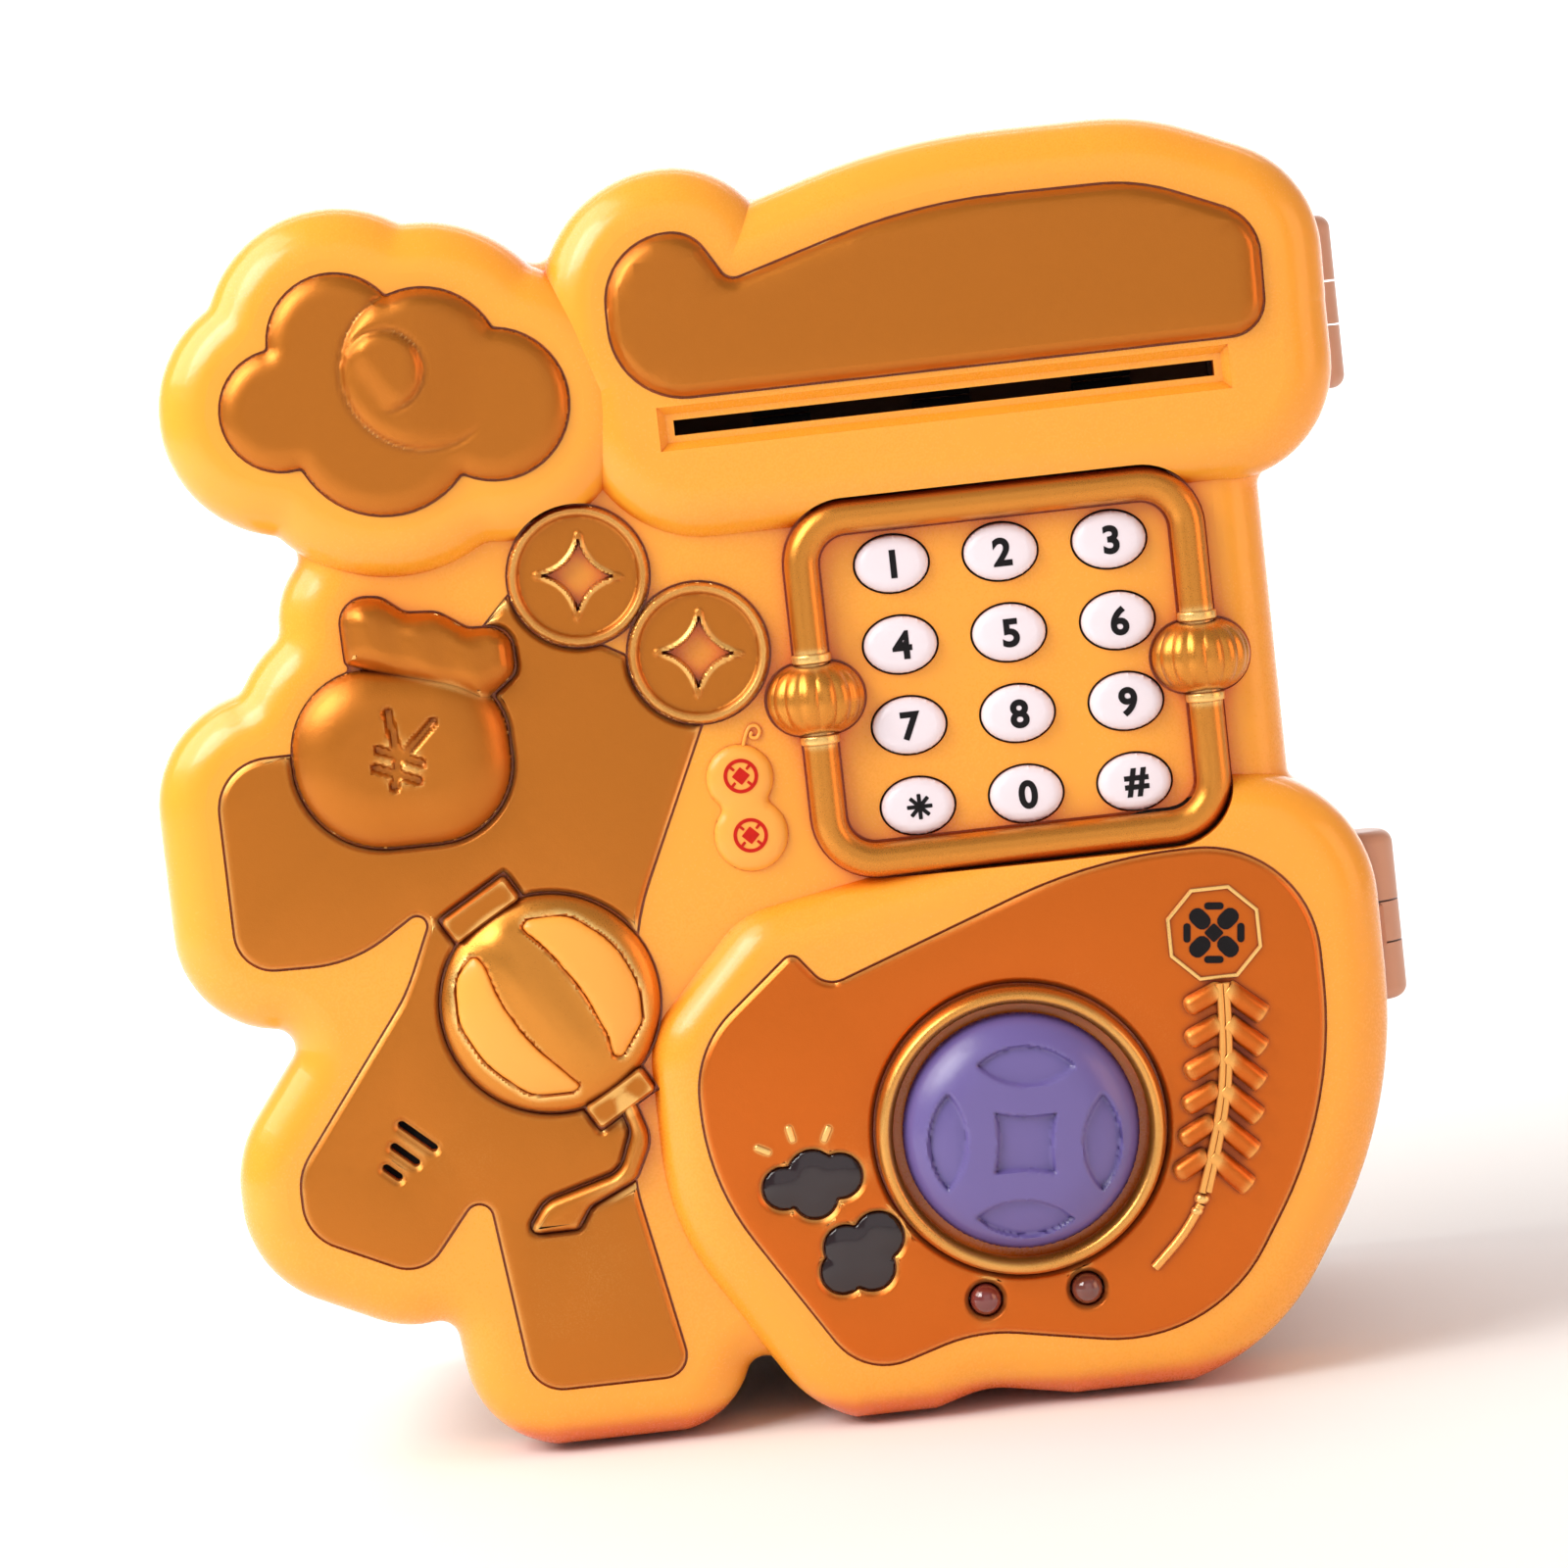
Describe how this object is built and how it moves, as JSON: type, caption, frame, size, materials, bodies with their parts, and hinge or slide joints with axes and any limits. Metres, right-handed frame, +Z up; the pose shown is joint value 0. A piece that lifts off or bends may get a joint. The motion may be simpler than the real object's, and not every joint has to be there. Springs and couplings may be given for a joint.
{
  "type": "toy safe coin bank",
  "caption": "Toy safe money bank with a puffy yellow hinged door, gold relief plates, a bill slot, a twelve-key pad, a turning knob with a latch bolt and a hollow box behind",
  "frame": {"origin": "centre of the bounding box, on the table surface under the feet", "axes": "+Z up, -Y towards the user in front of the door, +X towards the door's hinges"},
  "size_m": [0.1952, 0.12, 0.2],
  "materials": {
    "yellow_plastic": "warm yellow-orange, glossy moulded",
    "beige_plastic": "pinkish beige, moulded",
    "brown_gold": "satin brown-gold paint on plastic",
    "orange_gold": "satin orange-gold paint on plastic",
    "purple_plastic": "satin lilac-purple",
    "white_key": "off-white",
    "smoked_window": "smoked, polished",
    "red_lamp": "clear, red when lit",
    "green_lamp": "clear, green when lit",
    "steel": "plain",
    "white_nylon": "natural nylon",
    "black_rubber": "matt",
    "silicone": "grey silicone",
    "green_board": "green circuit board",
    "battery_wrap": "plain wrapped cell",
    "black_paper": "paper cone and steel frame"
  },
  "bodies": {
    "money_box": {"body_shell": "beige_plastic", "hinge_pins": "steel", "foot_pads": "black_rubber", "strike_plate": "steel"},
    "knob_set": {"knob": "purple_plastic", "knob_spindle": "white_nylon", "knob_crank": "white_nylon"},
    "bolt": {"latch_bolt": "white_nylon"},
    "drive_roller": {"drive_shaft": "steel", "drive_tyres": "black_rubber", "drive_gear": "white_nylon"},
    "pinch": {"pinch_roller": "black_rubber"},
    "idler": {"idler_gear": "white_nylon"},
    "rotor": {"motor_shaft": "steel", "motor_pinion": "white_nylon"},
    "key_1_cap": {"key_1": "white_key"},
    "key_2_cap": {"key_2": "white_key"},
    "key_3_cap": {"key_3": "white_key"},
    "key_4_cap": {"key_4": "white_key"},
    "key_5_cap": {"key_5": "white_key"},
    "key_6_cap": {"key_6": "white_key"},
    "key_7_cap": {"key_7": "white_key"},
    "key_8_cap": {"key_8": "white_key"},
    "key_9_cap": {"key_9": "white_key"},
    "key_star_cap": {"key_star": "white_key"},
    "key_0_cap": {"key_0": "white_key"},
    "key_hash_cap": {"key_hash": "white_key"},
    "door": {"apple_plate": "orange_gold", "batteries": "battery_wrap", "battery_contacts": "steel", "battery_cover": "beige_plastic", "battery_tray": "white_nylon", "bolt_guides": "white_nylon", "case_screws": "steel", "cloud_plaque": "brown_gold", "coin_medallions": "brown_gold", "control_board": "green_board", "door_back_panel": "beige_plastic", "door_front_shell": "yellow_plastic", "feed_motor": "steel", "feeder_frame": "white_nylon", "firecracker_string": "orange_gold", "gourd_badge": "yellow_plastic", "key_membrane": "silicone", "keypad_frame": "orange_gold", "knob_bezel": "orange_gold", "lamp_board": "green_board", "lantern": "brown_gold", "led_green": "green_lamp", "led_red": "red_lamp", "left_plate": "brown_gold", "lock_cover": "beige_plastic", "lock_plunger": "steel", "lock_solenoid": "steel", "lower_window": "smoked_window", "money_bag": "brown_gold", "octagon_badge": "orange_gold", "slot_plaque": "brown_gold", "speaker": "black_paper", "upper_window": "smoked_window"}
  },
  "joints": [
    {"name": "door_swing", "type": "hinge", "parent": "money_box", "child": "door", "pos_m": [0.0926, -0.02, 0.1022], "axis": [0, 0, 1], "range_deg": [0, 110]},
    {"name": "knob_turn", "type": "hinge", "parent": "door", "child": "knob_set", "pos_m": [0.0316, -0.052, 0.045], "axis": [0, -1, 0], "range_deg": [0, 45]},
    {"name": "bolt_slide", "type": "slide", "parent": "door", "child": "bolt", "axis": [-1, 0, 0], "range_m": [0, 0.00614]},
    {"name": "roller_spin", "type": "hinge", "parent": "door", "child": "drive_roller", "pos_m": [0.0321, -0.0388, 0.15445], "axis": [1, 0, 0], "continuous": true},
    {"name": "pinch_spin", "type": "hinge", "parent": "door", "child": "pinch", "pos_m": [0.0321, -0.0388, 0.16475], "axis": [1, 0, 0], "continuous": true},
    {"name": "idler_spin", "type": "hinge", "parent": "door", "child": "idler", "pos_m": [0.0321, -0.0388, 0.17065], "axis": [1, 0, 0], "continuous": true},
    {"name": "motor_spin", "type": "hinge", "parent": "door", "child": "rotor", "pos_m": [0.0321, -0.0388, 0.18415], "axis": [1, 0, 0], "continuous": true},
    {"name": "key_1_press", "type": "slide", "parent": "door", "child": "key_1_cap", "axis": [0, 1, 0], "range_m": [0, 0.0012], "stiffness_N_per_m": 400},
    {"name": "key_2_press", "type": "slide", "parent": "door", "child": "key_2_cap", "axis": [0, 1, 0], "range_m": [0, 0.0012], "stiffness_N_per_m": 400},
    {"name": "key_3_press", "type": "slide", "parent": "door", "child": "key_3_cap", "axis": [0, 1, 0], "range_m": [0, 0.0012], "stiffness_N_per_m": 400},
    {"name": "key_4_press", "type": "slide", "parent": "door", "child": "key_4_cap", "axis": [0, 1, 0], "range_m": [0, 0.0012], "stiffness_N_per_m": 400},
    {"name": "key_5_press", "type": "slide", "parent": "door", "child": "key_5_cap", "axis": [0, 1, 0], "range_m": [0, 0.0012], "stiffness_N_per_m": 400},
    {"name": "key_6_press", "type": "slide", "parent": "door", "child": "key_6_cap", "axis": [0, 1, 0], "range_m": [0, 0.0012], "stiffness_N_per_m": 400},
    {"name": "key_7_press", "type": "slide", "parent": "door", "child": "key_7_cap", "axis": [0, 1, 0], "range_m": [0, 0.0012], "stiffness_N_per_m": 400},
    {"name": "key_8_press", "type": "slide", "parent": "door", "child": "key_8_cap", "axis": [0, 1, 0], "range_m": [0, 0.0012], "stiffness_N_per_m": 400},
    {"name": "key_9_press", "type": "slide", "parent": "door", "child": "key_9_cap", "axis": [0, 1, 0], "range_m": [0, 0.0012], "stiffness_N_per_m": 400},
    {"name": "key_star_press", "type": "slide", "parent": "door", "child": "key_star_cap", "axis": [0, 1, 0], "range_m": [0, 0.0012], "stiffness_N_per_m": 400},
    {"name": "key_0_press", "type": "slide", "parent": "door", "child": "key_0_cap", "axis": [0, 1, 0], "range_m": [0, 0.0012], "stiffness_N_per_m": 400},
    {"name": "key_hash_press", "type": "slide", "parent": "door", "child": "key_hash_cap", "axis": [0, 1, 0], "range_m": [0, 0.0012], "stiffness_N_per_m": 400}
  ],
  "couplings": [
    {"joint": "bolt_slide", "follows": "knob_turn", "m_per_rad": 0.007796},
    {"joint": "pinch_spin", "follows": "roller_spin", "ratio": -1},
    {"joint": "idler_spin", "follows": "roller_spin", "ratio": -1},
    {"joint": "motor_spin", "follows": "roller_spin", "ratio": 1.5}
  ]
}
